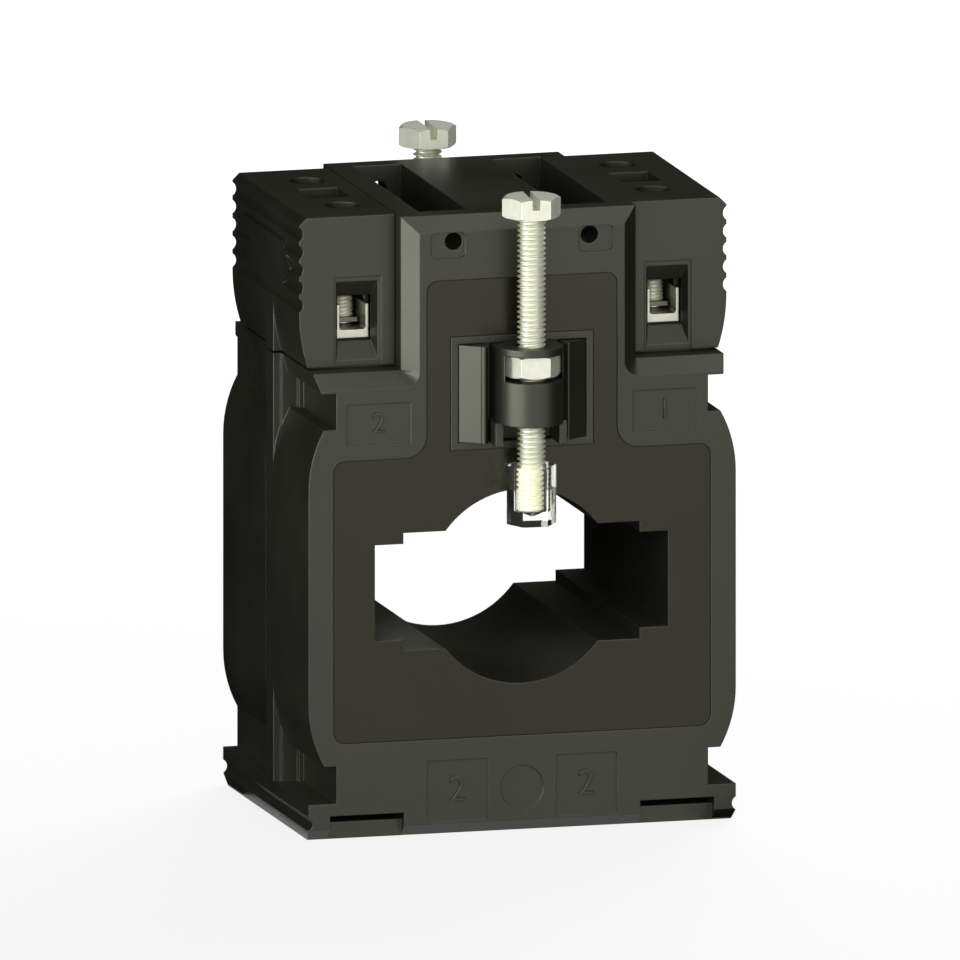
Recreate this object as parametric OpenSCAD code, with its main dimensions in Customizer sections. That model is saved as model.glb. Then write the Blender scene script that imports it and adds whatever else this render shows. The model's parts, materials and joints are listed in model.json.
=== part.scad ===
// Window-type current transformer for a busbar or a cable, sizes in millimetres.
// The front is -Y, the right side is +X, and the origin is the centre of the base.
// Front and rear are alike, and so are left and right, apart from the depth of the side notches.

/* [Housing] */
// Overall width across feet, side bulges and terminal covers
case_w = 60; // [54:0.5:70]
// Height of the housing without the clamp screws
case_h = 85.2; // [80:0.2:98]
// Depth from front plane to rear plane
case_d = 44; // [42:0.5:60]
// General wall thickness of the mouldings
wall = 2; // [1.6:0.1:2.2]
// Height of the foot
foot_h = 5.1; // [4.6:0.1:5.6]
// Height over which the foot's sides lean inwards
foot_toe_h = 1.5; // [1:0.1:2]
// How much narrower each foot is at the very bottom
foot_toe = 0.25; // [0:0.05:1]
// Half the height of the round groove along each side of the foot
foot_groove_half = 0.9; // [0.5:0.1:1.2]
// Depth of that groove
foot_groove_depth = 0.55; // [0.3:0.05:0.8]
// Height of the lower side notches, between foot and bulge
low_notch_h = 5.15; // [4:0.05:6]
// Height of the upper side notches, between bulge and ledge
high_notch_h = 5; // [4:0.1:6]
// Depth of the side notches in the front half
front_notch = 3.9; // [3:0.1:4.5]
// Depth of the side notches in the rear half
rear_notch = 2; // [1:0.1:4]
// Radius of the rounded ends of the side bulges
bulge_r = 17; // [14:0.5:24]
// Height over which each end of a bulge curves in
bulge_rise = 8.3; // [6:0.1:10]
// Height of the centre tower above the ledge that carries the terminal covers
tower_h = 21.1; // [20.6:0.1:22]
// Thickness of the ledge at its outer end
ledge_t = 2.45; // [2:0.05:3]
// How far the ledge stays inside the overall width
ledge_inset = 1.15; // [0.5:0.05:2]
// How much further in the ledge's end is at its underside
ledge_taper = 0.65; // [0:0.05:1]
// Width taken from the tower by each terminal cover
cover_band = 13.5; // [13.2:0.1:14]
// Chamfer round the front of tower and ledge
edge_chamfer = 2.1; // [1:0.1:2.4]
// Chamfer along the front of the foot
foot_chamfer = 1.6; // [0.5:0.1:1.8]
// Thickness of the flange at the parting plane
flange_t = 3.8; // [2:0.1:5]
// Length of the dowels that line up the two shells
dowel_l = 3; // [2:0.5:5]
// Radius of the dowels
dowel_r = 0.9; // [0.6:0.1:1.1]
// Distance of the lower dowels from the centre
dowel_x = 12; // [8:0.5:12.5]
// Height of the lower dowels above the foot
dowel_rise = 0.6; // [0.3:0.1:1]
// Distance of the upper dowels below the top
dowel_drop = 9; // [5:0.5:12]
// Wall between the upper dowels and the sides of the tower
dowel_side = 0.7; // [0.6:0.1:1]

/* [Foot slots] */
// Width of a slot
foot_slot_w = 10.4; // [8:0.1:11]
// Distance of a slot from the side of the foot
foot_slot_side = 3; // [2:0.1:4]
// Height of the upper end of a slot
foot_slot_top = 3.4; // [3:0.1:3.8]
// Thickness of the tongue below a slot
foot_tongue_h = 2.3; // [1.5:0.1:2.6]
// How far the tongue stays behind the front plane
foot_tongue_back = 1.6; // [1:0.1:3]
// Depth of a slot from the front plane
foot_slot_l = 10; // [6:0.5:14]

/* [Ribs] */
// Distance between the grip ribs of a terminal cover
rib_pitch = 2.46; // [2.2:0.02:2.6]
// Depth of the round valleys between ribs
rib_depth = 0.5; // [0.3:0.05:0.8]
// Number of ribs on a terminal cover
rib_count = 6; // [4:1:6]
// Width of a rib's flat crest
rib_crest = 0.6; // [0.3:0.05:1]

/* [Window] */
// Height of the window's centre above the middle of the side bulges
window_lift = 0.35; // [0:0.05:0.6]
// Housing kept above and below the round opening for a cable, up to the ends of the bulges
round_band = 9.8; // [9.8:0.1:11]
// Housing kept on each side of the slot for a wide, thin busbar
wide_bar_band = 9.4; // [9.4:0.1:11]
// Height of the slot for a wide, thin busbar
wide_bar_h = 13.2; // [8:0.2:14]
// How far the wide slot reaches past each end of the slot for a narrower, thicker busbar
bar_step = 4; // [2:0.1:5]
// Height of the slot for a narrower, thicker busbar
thick_bar_h = 16.2; // [15:0.2:17.6]
// Wall of the window tube
tube_wall = 1.4; // [1:0.1:1.6]

/* [Label] */
// Distance of the label from each side of the housing
label_side = 3.5; // [3:0.1:6]
// Distance of the label's lower edge above the lower end of the bulges
label_rise = 3; // [2:0.1:5]
// Distance of the label's shoulders below the upper end of the bulges
label_drop = 4.4; // [4:0.1:6]
// Distance of the label's neck from each side of the tower
label_neck_side = 3.1; // [2.6:0.1:3.4]
// Distance of the label's upper edge below the top
label_top_drop = 8.7; // [8:0.1:10]
// Corner radius of the label
label_r = 1.6; // [0.5:0.1:3]
// Radius of the inner corners beside the neck
label_inner_r = 3; // [1:0.1:4]
// Depth of the recess that holds the label
label_recess = 0.35; // [0.25:0.05:0.6]
// Thickness of the label
label_t = 0.2; // [0.1:0.05:0.25]
// Gap round the label in its recess
label_gap = 0.1; // [0.05:0.05:0.3]

/* [Markers] */
// Width of the marker plates beside the neck
side_marker_w = 9; // [6:0.5:9.5]
// Height of the marker plates beside the neck
side_marker_h = 5.6; // [4:0.1:6]
// Gap between the neck and a marker plate
side_marker_gap = 2.2; // [1.6:0.1:3]
// Height of the middle of those plates above the label's shoulders
side_marker_rise = 4.9; // [4.5:0.1:5.5]
// Width of the marker plates on the foot
foot_marker_w = 8.5; // [6:0.5:8.5]
// Height of the marker plates on the foot
foot_marker_h = 8.4; // [5:0.1:9]
// Distance of the foot's marker plates from the centre
foot_marker_x = 9.05; // [8.5:0.05:9.2]
// Height of the middle of the foot's plates above the foot's top
foot_marker_rise = 1; // [0.5:0.1:1.5]
// Diameter of the round plate between them
disc_d = 6; // [4:0.5:7]
// Depth of the marker plates
marker_depth = 0.3; // [0.1:0.05:0.4]

/* [Top pockets] */
// Wall between a pocket and the side of the tower
pocket_side = 3.3; // [2.5:0.1:4]
// Width of a pocket
pocket_w = 6.8; // [5:0.1:7]
// Depth of a pocket below the top
pocket_depth = 13; // [9:0.5:14]
// Wall between a pocket and the front plane
pocket_wall = 5; // [3:0.1:6]
// Diameter of the sealing holes
seal_d = 2.4; // [1.5:0.1:3]
// Distance of a sealing hole from the inner wall of its pocket
seal_inset = 3.15; // [2:0.05:4]
// Distance of a sealing hole below the top
seal_drop = 3.4; // [3.3:0.1:4]
// Width of the recessed tab round a sealing hole
seal_tab_w = 4.8; // [4:0.1:6]
// Height of the recessed tab
seal_tab_h = 3.6; // [3:0.1:4]
// How far the tab's middle is beside the hole
seal_tab_shift = 0.85; // [0:0.05:1]
// Corner radius of the tab
seal_tab_r = 0.8; // [0.3:0.1:1.2]
// Depth of the recessed tab
seal_tab_depth = 0.4; // [0.1:0.05:0.5]

/* [Screw holder] */
// Distance of the holder's lower edge below the ledge
holder_drop = 10.1; // [9:0.1:10.6]
// Height of the holder
holder_h = 13.6; // [12:0.1:14]
// Width of the holder
holder_w = 18; // [16:0.2:19]
// Width of the rim left round the holder
holder_rim = 1; // [0.5:0.1:1.5]
// Depth of the holder's foot in the housing
holder_base = 2; // [1.5:0.1:2.5]
// How far the slanted cheeks stand out
cheek_out = 2.4; // [1.5:0.1:3]
// Width of the slanted part of a cheek
cheek_w = 3.3; // [2:0.1:3.4]
// Width of a cheek's flat crest
cheek_crest = 0.3; // [0.3:0.1:0.8]
// Radius of the crest's inner edge
cheek_r = 0.5; // [0.2:0.1:0.6]
// How far the plate between the cheeks stays behind the front plane
holder_groove = 1; // [0.5:0.1:1.5]
// Distance of the clamp screw's axis from the housing
screw_out = 4.7; // [4.6:0.1:7]
// Diameter of the boss that carries the nut
boss_d = 8.7; // [8.5:0.1:9]
// Height of the boss's lower end above the holder's lower edge
boss_lift = 3.3; // [2:0.1:3.5]
// Thickness of the ring above the nut
ring_t = 1.1; // [0.8:0.1:1.5]
// How far the ring stands above the cheeks
ring_rise = 0.4; // [0:0.1:0.6]
// Gap behind the nut in its slot, of which a quarter is left on each side
nut_room = 0.2; // [0.2:0.05:0.4]
// Height of the slot for the nut
nut_slot = 3.6; // [3.4:0.1:4]
// Thickness of the two bracket walls under the boss
bracket_t = 1.05; // [0.8:0.05:1.2]
// Distance between the two bracket walls
bracket_room = 7.9; // [7:0.1:8]
// Radial room of the screw in the holder
screw_room = 0.25; // [0.1:0.05:0.4]

/* [Clamp screw] */
// Thread diameter
thread_d = 4; // [3.5:0.1:4.2]
// Distance over which the thread advances in one turn
thread_pitch = 0.7; // [0.5:0.05:0.8]
// Length under the head
shank_l = 40.5; // [34:0.5:44]
// Width across the flats of head and nut
hex_af = 7; // [6.5:0.1:7.4]
// Height of the head
head_h = 2.8; // [2.4:0.1:3.2]
// Thickness of the nut
nut_h = 3.1; // [2.8:0.1:3.2]
// Height of the underside of the head above the housing's top
head_lift = 0.5; // [0.1:0.1:4]
// Width of the screwdriver slot
slot_w = 1; // [0.8:0.1:1.4]
// Depth of the screwdriver slot
slot_depth = 1.4; // [0.8:0.1:1.8]
// Chamfer at the screw's end
screw_chamfer = 0.4; // [0.2:0.1:0.6]
// Chamfer round the corners of the head's top
head_chamfer = 0.5; // [0.2:0.1:0.8]
// Chamfer round the corners of the head's underside
head_under_chamfer = 0.35; // [0.05:0.05:0.5]
// Chamfer round the corners of the nut
nut_chamfer = 0.55; // [0.2:0.05:0.6]
// Turn of the front screw's head from square
front_head_turn = -4; // [-30:1:30]
// Turn of the rear screw's head from square
rear_head_turn = -1; // [-30:1:30]
// Turn of nut and tip from square
nut_turn = -5; // [-5:1:5]
// Width across the flats of the clear tip
tip_af = 5.9; // [5.5:0.1:6.4]
// Length of the clear tip
tip_l = 8.1; // [7:0.1:9]
// Thickness of the tip's closed end
tip_floor = 1.8; // [1.5:0.1:2.5]
// Chamfer round the corners of the tip's lower end
tip_chamfer = 0.1; // [0.1:0.1:0.8]
// Chamfer round the corners of the tip's upper end
tip_top_chamfer = 0.2; // [0.1:0.1:0.5]
// Depth of the cone at the bottom of the tip's hole
tip_cone = 0.7; // [0.3:0.1:1]
// Radius of the flat end of that cone
tip_cone_r = 0.2; // [0.1:0.1:0.5]

/* [Terminals] */
// Distance of the terminals from the sides
term_side = 8.2; // [8:0.1:8.4]
// Distance of the terminal screws from mid-depth
term_y = 9.1; // [8:0.1:10]
// Distance of the covers' end faces from the front and rear planes
cover_recess = 4.8; // [4:0.1:5.2]
// How far a cover's top stays below the housing's top
cover_top_drop = 0.1; // [0:0.1:0.5]
// Gap under a cover
cover_seam = 0.3; // [0.1:0.05:0.5]
// Gap between cover and tower, and round the pedestal inside
cover_gap = 0.1; // [0.05:0.05:0.2]
// Wall of a cover beside the tower
cover_inner_wall = 1.5; // [1.2:0.1:1.6]
// Radius of the curve at the lower end of a cover's side
cover_curve_r = 24; // [20:1:40]
// Chamfer along the top edge of a cover
cover_chamfer = 0.95; // [0.5:0.05:1.2]
// Width of the wire hole
wire_hole_w = 4.65; // [4:0.05:4.7]
// Height of the wire hole
wire_hole_h = 6.1; // [5:0.1:6.2]
// Width of the funnel's mouth
wire_mouth_w = 5.9; // [5.5:0.1:6.1]
// Height of the funnel's mouth
wire_mouth_h = 10.95; // [9:0.05:11]
// How far the mouth's middle is below the hole's middle
wire_mouth_drop = 0.15; // [0:0.05:0.3]
// Height of the wire hole's centre above the ledge
wire_lift = 6.65; // [6.5:0.05:6.9]
// Width of the sunk panel round the funnel
wire_panel_w = 6.6; // [6.2:0.1:7]
// Height of the sunk panel
wire_panel_h = 12.3; // [12.2:0.1:13]
// Depth of the sunk panel
wire_panel_depth = 0.4; // [0.2:0.05:0.6]
// Diameter of the screwdriver holes
driver_d = 5; // [4.6:0.1:5.2]
// Length of the screwdriver holes
driver_l = 8; // [6:0.1:8.2]
// Wall of the tubes round the screwdriver holes
driver_wall = 1.1; // [0.8:0.1:1.2]
// Width of the rectangular test hole
test_hole_w = 5.6; // [4:0.1:6]
// Length of the rectangular test hole
test_hole_l = 7; // [5:0.1:7.4]
// Distance of the arrow's tip behind the cover's end face
arrow_start = 5; // [3:0.1:7]
// Length of the arrow's point
arrow_barb = 4.2; // [3:0.1:5]
// How much further the arrow's panel reaches at its tail
arrow_tail = 0.2; // [0:0.1:0.5]

/* [Contacts] */
// Thickness of the contact sheet
sheet_t = 0.4; // [0.3:0.05:0.5]
// Width of a contact bar
bar_w = 4.5; // [4.2:0.1:4.6]
// Height of a contact bar's side walls
bar_h = 3.9; // [3.5:0.1:4.2]
// Height of the contact bar above the ledge
bar_lift = 4.4; // [4.2:0.1:4.6]
// Length of each channel end of a contact bar
bar_channel_l = 9.5; // [8:0.1:10]
// Height of the lips bent down at the ends
bar_lip = 1.1; // [0.8:0.1:1.3]
// Gap between bar end and cover wall
bar_end_gap = 0.7; // [0.3:0.1:1]
// Wall of a clamp frame
frame_t = 0.6; // [0.5:0.05:0.7]
// Length of a clamp frame along the bar
frame_l = 5.2; // [4.5:0.1:5.4]
// Inner height of a clamp frame
frame_room = 5.2; // [5:0.1:5.4]
// Thickness of a clamp frame's threaded top
frame_top = 2.2; // [1.8:0.1:2.4]
// Thread diameter of a terminal screw
term_d = 3; // [2.5:0.1:3]
// Head diameter of a terminal screw
term_head_d = 4.4; // [4.2:0.1:4.4]
// Head height of a terminal screw
term_head_h = 1.8; // [1.5:0.1:2]
// Depth of the cross slots in the head
term_slot_depth = 1; // [0.6:0.1:1.2]
// Width of the cross slots
term_slot_w = 0.8; // [0.5:0.1:1]
// Length of the shorter slot
term_slot_l = 3; // [2.5:0.1:3.6]
// Height of the head's underside above the clamp frame, with the clamp open
term_head_lift = 1.9; // [1.6:0.1:2.2]
// Width of the pressure plate that the screw pushes
plate_w = 3.2; // [2.8:0.1:3.4]
// Length of the pressure plate
plate_l = 4; // [3:0.1:4.4]
// Thickness of the pressure plate
plate_t = 0.6; // [0.4:0.1:0.8]
// Height of the pressure plate above the bar's floor, with the clamp closed
plate_lift = 0.45; // [0.3:0.05:0.6]
// Width of the tag that goes down to the winding
tag_w = 3; // [2:0.5:4]
// Height of the tag's lower end above the bulges
tag_rise = 1; // [0.5:0.1:2]

/* [Core] */
// Thickness of the wound core's strip pack
core_t = 2.3; // [2:0.1:2.3]
// Wall of the two plastic core caps
cap_t = 0.5; // [0.4:0.05:0.5]
// Thickness of the winding layer
winding_t = 0.85; // [0.6:0.05:0.85]
// Thickness of the outer tape
tape_t = 0.25; // [0.1:0.05:0.25]
// Gap between core pack and window tube at the sides
core_gap = 0.3; // [0.2:0.1:0.3]
// Gap between core pack and the front and rear walls
core_end_gap = 0.4; // [0.2:0.1:2]
// Inner corner radius of the core pack
pack_r = 2.6; // [1.5:0.1:3.5]
// Diameter of the winding's leads
lead_d = 1.2; // [0.8:0.1:1.4]
// Height of a lead's upper end above the bulges
lead_rise = 4; // [3:0.5:6]

/* [Hidden] */
$fn = 48;

eps = 0.02;                                   // overshoot of a cut past a face
fit = 0.05;                                   // radial clearance of a screw in its thread or seat
half_w = case_w / 2;
half_d = case_d / 2;

// Side profile
tower_w = case_w - 2 * cover_band;
ledge_z = case_h - tower_h;
bulge_z0 = foot_h + low_notch_h;
bulge_z1 = ledge_z - ledge_t - high_notch_h;
flange_steps = [[0, 0], [1, 0.7], [3.2, 1.5]]; // how far in from the width, how far forward of the flange
room_wall = wall - 0.1;                       // side wall of the room round the core pack

// Window
window_z = (bulge_z0 + bulge_z1) / 2 + window_lift;
round_d = bulge_z1 - bulge_z0 - 2 * round_band;
wide_bar_w = case_w - 2 * wide_bar_band;
thick_bar_w = wide_bar_w - 2 * bar_step;

// Label, markers and pockets
label_w = case_w - 2 * label_side;
label_z = bulge_z0 + label_rise;
label_shoulder_z = bulge_z1 - label_drop;
label_neck_w = tower_w - 2 * label_neck_side;
label_top_z = case_h - label_top_drop;
pocket_x = tower_w / 2 - pocket_side - pocket_w;
seal_x = pocket_x + seal_inset;
foot_slot_x1 = half_w - foot_slot_side;
foot_slot_x0 = foot_slot_x1 - foot_slot_w;
dowels = [                                    // distance from the centre, height
    [tower_w / 2 - dowel_r - dowel_side, case_h - dowel_drop],
    [dowel_x, foot_h + dowel_rise]
];

// Holder and clamp screw
screw_y = -half_d - screw_out;
holder_z = ledge_z - holder_drop;
boss_z = holder_z + boss_lift;
nut_slot_z = holder_z + holder_h + ring_rise - ring_t - nut_slot;
nut_z = nut_slot_z + nut_slot - nut_h;
head_z = case_h + head_lift;
shank_z = head_z - shank_l;
shank_r = thread_d / 2 - fit;
tip_z = shank_z - fit - tip_floor;

// Terminal cover
cover_x = tower_w / 2 + cover_gap;
cover_z = ledge_z + cover_seam;
cover_top = case_h - cover_top_drop;
cover_y = half_d - cover_recess;
rib_z = cover_top - cover_chamfer - (rib_count - 1) * rib_pitch;
arrow_seat = 0.5;                             // extra wall of a cover behind its ribs
cover_room_x0 = cover_x + cover_inner_wall;
cover_room_x1 = half_w - rib_depth - wall - arrow_seat;
pedestal_gap = 3 * cover_gap;
pedestal_seat = 1;                            // how far the pedestal's foot reaches under the cover's walls
term_x = half_w - term_side;
wire_z = ledge_z + wire_lift;

// Contacts
bar_z = ledge_z + bar_lift;
bar_end_y = cover_y - wall - bar_end_gap;
frame_gap = 0.1;
frame_z = bar_z - frame_gap - frame_t;
frame_top_z = bar_z - frame_gap + frame_room;
plate_z = bar_z + sheet_t + plate_lift;
term_head_z = frame_top_z + frame_top + term_head_lift;
tag_gap = 0.6;                                // room round the tag and the lead in the housing
button_t = 0.25;                              // riveted end that holds the pressure plate on the screw
button_r = 1.2;
neck_r = 0.9;

// Core pack, from the inside out
pack_t = core_t + 2 * (cap_t + winding_t + tape_t);
tube_w = wide_bar_w + 2 * tube_wall;
tube_h = round_d + 2 * tube_wall;
pack_in = [tube_w + 2 * core_gap, tube_h];
pack_y = half_d - wall - core_end_gap;

case_grey = [0.29, 0.29, 0.26];
plate_nickel = [0.85, 0.85, 0.78];

// ---------------------------------------------------------------- helpers

// Draws the children once as they are and once mirrored to the left side.
module both_sides() {
    children();
    mirror([1, 0, 0]) children();
}

// Moves a front piece to the rear.
module to_rear() {
    mirror([0, 1, 0]) children();
}

// Moves a right-hand piece to the left.
module to_left() {
    mirror([1, 0, 0]) children();
}

// Extrudes an outline drawn in X and Z from y0 to y1.
module along_depth(y0, y1) {
    translate([0, y1, 0]) rotate([90, 0, 0]) linear_extrude(y1 - y0) children();
}

// Extrudes an outline drawn in Y and Z from x0 to x1.
module along_width(x0, x1) {
    translate([x0, 0, 0]) rotate([90, 0, 90]) linear_extrude(x1 - x0) children();
}

// A box given by its lowest and highest corner.
module block(low, high) {
    translate(low) cube(high - low);
}

// A rectangle with round corners, centred on the origin.
module rounded_rect(w, h, r) {
    square([w - 2 * r, h], center = true);
    square([w, h - 2 * r], center = true);
    for (sx = [-1, 1], sy = [-1, 1]) {
        translate([sx * (w / 2 - r), sy * (h / 2 - r)]) circle(r);
    }
}

// Radius of a round valley from half its width and its depth.
function valley_r(half_chord, depth) = (half_chord * half_chord + depth * depth) / (2 * depth);

// A triangular cut for a 45 degree chamfer of an edge along X at the origin, whose faces
// run towards +Y and -Z.
module edge_wedge(x0, x1, c) {
    along_width(x0, x1) {
        polygon([[-eps, eps], [c + eps, eps], [-eps, -c - eps]]);
    }
}

// A hexagonal prism with flats to front and rear and chamfered corners at its two ends.
module hex_prism(af, h, bottom, top) {
    r = af / sqrt(3);
    slope = tan(30);
    intersection() {
        cylinder(h = h, r = r, $fn = 6);
        rotate_extrude() {
            polygon([
                [0, 0], [r - bottom, 0], [r, bottom * slope], [r, h - top * slope], [r - top, h], [0, h]
            ]);
        }
    }
}

// ---------------------------------------------------------------- housing shells

module foot_outline() {
    r = valley_r(foot_groove_half, foot_groove_depth);
    difference() {
        polygon([
            [foot_toe - half_w, 0], [half_w - foot_toe, 0], [half_w, foot_toe_h],
            [half_w, foot_h], [-half_w, foot_h], [-half_w, foot_toe_h]
        ]);
        for (s = [-1, 1]) {
            translate([s * (half_w + r - foot_groove_depth), foot_toe_h + foot_groove_half]) circle(r);
        }
    }
}

// The rounded side bulge, or the same shape drawn smaller by inset for the room inside it.
module bulge_outline(inset = 0) {
    r = bulge_r - inset;
    z0 = bulge_z0 + inset;
    z1 = bulge_z1 - inset;
    core_x = half_w - bulge_r;
    intersection() {
        translate([-half_w, z0]) square([case_w, z1 - z0]);
        union() {
            for (s = [-1, 1], z = [bulge_z0 + bulge_rise, bulge_z1 - bulge_rise]) {
                translate([s * core_x, z]) circle(r);
            }
            translate([inset - half_w, bulge_z0 + bulge_rise]) {
                square([case_w - 2 * inset, bulge_z1 - bulge_z0 - 2 * bulge_rise]);
            }
            translate([-core_x, z0]) square([2 * core_x, z1 - z0]);
        }
    }
}

module ledge_outline() {
    high = half_w - ledge_inset;
    low = high - ledge_taper;
    polygon([
        [-low, ledge_z - ledge_t], [low, ledge_z - ledge_t], [high, ledge_z], [-high, ledge_z]
    ]);
}

module case_outline(notch) {
    foot_outline();
    bulge_outline();
    ledge_outline();
    translate([notch - half_w, foot_h - eps]) {
        square([case_w - 2 * notch, ledge_z - ledge_t - foot_h + 2 * eps]);
    }
    translate([-tower_w / 2, ledge_z - eps]) square([tower_w, case_h - ledge_z + eps]);
}

// The opening for the primary conductor: a round hole crossed by two busbar slots.
module window_outline(grow = 0) {
    translate([0, window_z]) {
        circle(round_d / 2 + grow, $fn = 96);
        square([wide_bar_w + 2 * grow, wide_bar_h + 2 * grow], center = true);
        square([thick_bar_w + 2 * grow, thick_bar_h + 2 * grow], center = true);
    }
}

module holder_rim_outline(grow = 0) {
    side = holder_w + 2 * (holder_rim + grow);
    translate([0, holder_z + holder_h / 2]) square([side, holder_h + 2 * (holder_rim + grow)], center = true);
}

// The T shape of the label, drawn smaller all round by inset.
module label_outline(inset = 0) {
    neck = label_neck_w - 2 * inset;
    r = label_r;
    difference() {
        union() {
            translate([0, (label_z + label_shoulder_z) / 2]) {
                rounded_rect(label_w - 2 * inset, label_shoulder_z - label_z - 2 * inset, r);
            }
            translate([0, (label_z + label_top_z) / 2]) {
                rounded_rect(neck, label_top_z - label_z - 2 * inset, r);
            }
            difference() {
                translate([-neck / 2 - label_inner_r, label_shoulder_z - inset - eps]) {
                    square([neck + 2 * label_inner_r, label_inner_r + eps]);
                }
                for (s = [-1, 1]) {
                    translate([s * (neck / 2 + label_inner_r), label_shoulder_z - inset + label_inner_r]) {
                        circle(label_inner_r);
                    }
                }
            }
        }
        holder_rim_outline(inset);
    }
}

module front_chamfers() {
    translate([0, -half_d, case_h]) edge_wedge(-tower_w, tower_w, edge_chamfer);
    both_sides() {
        translate([tower_w / 2, -half_d, ledge_z]) {
            rotate([0, 90, 0]) edge_wedge(-case_h, 0, edge_chamfer);
            edge_wedge(0, half_w, edge_chamfer);
            translate([0, -eps, 0]) rotate([-90, 0, 0]) {
                cylinder(h = edge_chamfer + eps, r1 = edge_chamfer + eps, r2 = 0);
            }
        }
    }
    translate([0, -half_d, 0]) mirror([0, 0, 1]) edge_wedge(-case_w, case_w, foot_chamfer);
}

// Slots in the foot's front that take separate mounting feet.
module foot_slots() {
    both_sides() {
        block(
            [foot_slot_x0, -half_d - 1, -1],
            [foot_slot_x1, foot_tongue_back - half_d, foot_slot_top]
        );
        block(
            [foot_slot_x0, -half_d, foot_tongue_h],
            [foot_slot_x1, foot_slot_l - half_d, foot_slot_top]
        );
    }
}

module marker_recesses() {
    side_x = (label_neck_w + side_marker_w) / 2 + side_marker_gap;
    side_z = label_shoulder_z + side_marker_rise;
    foot_z = foot_h + foot_marker_rise;
    along_depth(-half_d - 1, marker_depth - half_d) {
        for (s = [-1, 1]) {
            translate([s * side_x, side_z]) square([side_marker_w, side_marker_h], center = true);
            translate([s * foot_marker_x, foot_z]) {
                square([foot_marker_w, foot_marker_h], center = true);
            }
        }
        translate([0, foot_z]) circle(disc_d / 2);
    }
}

module top_pockets() {
    seal_z = case_h - seal_drop;
    tab_z = case_h - edge_chamfer - seal_tab_h / 2;
    both_sides() {
        block(
            [pocket_x, pocket_wall - half_d, case_h - pocket_depth],
            [pocket_x + pocket_w, 1, case_h + 1]
        );
        translate([seal_x, -half_d - 1, seal_z]) rotate([-90, 0, 0]) {
            cylinder(h = pocket_wall + 1 + eps, r = seal_d / 2);
        }
        along_depth(-half_d - 1, seal_tab_depth - half_d) {
            translate([seal_x + seal_tab_shift, tab_z]) rounded_rect(seal_tab_w, seal_tab_h, seal_tab_r);
        }
    }
}

// Room for the core pack round the window tube, and the moulding's hollow above it.
module inner_rooms() {
    along_depth(wall - half_d, 1) {
        difference() {
            bulge_outline(room_wall);
            window_outline(tube_wall);
        }
    }
    room_x = tower_w / 2 - wall;
    room_z = [bulge_z1 + wall, case_h - pocket_depth - wall];
    block([-room_x, 2 * wall + holder_base - half_d, room_z[0]], [room_x, 1, room_z[1]]);
}

// The pedestal that carries contact bar and clamp frames under a terminal cover.
module pedestal() {
    block(
        [tower_w / 2 - eps, pedestal_seat - cover_y, ledge_z - eps],
        [cover_room_x1 + pedestal_seat, 0, cover_z]
    );
    difference() {
        block(
            [cover_room_x0 + pedestal_gap, sheet_t - bar_end_y, ledge_z],
            [cover_room_x1 - pedestal_gap, 0, bar_z]
        );
        block(
            [term_x - bar_w / 2 - 2 * frame_gap - frame_t, -term_y - frame_l / 2 - frame_gap, frame_z],
            [term_x + bar_w / 2 + 2 * frame_gap + frame_t, frame_l / 2 + frame_gap - term_y, bar_z + 1]
        );
    }
}

// The way of the contact bar's tag and the winding's lead, from the core room up to the bar.
module lead_slot() {
    tag_x = term_x + bar_w / 2;
    block(
        [tag_x - sheet_t - lead_d - 2 * tag_gap, -tag_w / 2 - tag_gap, bulge_z1 - wall - 1],
        [tag_x + tag_gap, 1, bar_z + 1]
    );
}

// The dowels of the front shell, or with some growth their holes in the rear shell.
module dowel_set(grow) {
    both_sides() {
        for (d = dowels) {
            translate([d[0], 0, d[1]]) rotate([90, 0, 0]) {
                cylinder(h = dowel_l + grow, r = dowel_r + grow);
            }
        }
    }
}

// One half of the housing, drawn as the front half, up to the parting plane at y = 0.
module shell_half(notch) {
    difference() {
        union() {
            difference() {
                along_depth(-half_d, 0) case_outline(notch);
                front_chamfers();
            }
            both_sides() pedestal();
        }
        along_depth(-half_d - 1, 1) window_outline();
        along_depth(-half_d - 1, label_recess - half_d) label_outline();
        along_depth(-half_d - 1, holder_base - half_d) holder_rim_outline(-holder_rim);
        foot_slots();
        marker_recesses();
        top_pockets();
        inner_rooms();
        both_sides() lead_slot();
    }
}

// The stepped flange that closes the notches of the front half at the parting plane.
module flange() {
    both_sides() {
        for (step = flange_steps) {
            block(
                [half_w - front_notch - eps, -flange_t - step[1], foot_h - eps],
                [half_w - step[0], 0, bulge_z0 + bulge_rise]
            );
            block(
                [half_w - front_notch - eps, -flange_t - step[1], bulge_z1 - bulge_rise],
                [half_w - step[0], 0, ledge_z]
            );
        }
    }
}

module front_shell() {
    color(case_grey) {
        union() {
            shell_half(front_notch);
            difference() {
                flange();
                inner_rooms();
            }
            to_rear() dowel_set(0);
        }
    }
}

module rear_shell() {
    color(case_grey) {
        to_rear() difference() {
            shell_half(rear_notch);
            dowel_set(fit);
        }
    }
}

module label() {
    y0 = label_recess - label_t - half_d;
    along_depth(y0, y0 + label_t) {
        difference() {
            label_outline(label_gap);
            window_outline(label_gap);
        }
    }
}

module front_label() {
    color([0.22, 0.20, 0.18]) label();
}

module rear_label() {
    color([0.22, 0.20, 0.18]) to_rear() label();
}

// ---------------------------------------------------------------- clamp screws

// The holder's plan: x from the centre and how far it stands out of the front plane.
module cheek_plan() {
    side = holder_w / 2 - cover_gap;
    inner = side - cheek_w - cheek_crest;
    polygon([
        [inner, -holder_base], [side, -holder_base], [side, 0],
        [side - cheek_w, cheek_out], [inner + cheek_r, cheek_out], [inner, cheek_out - cheek_r]
    ]);
    translate([inner + cheek_r, cheek_out - cheek_r]) circle(cheek_r);
}

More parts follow.
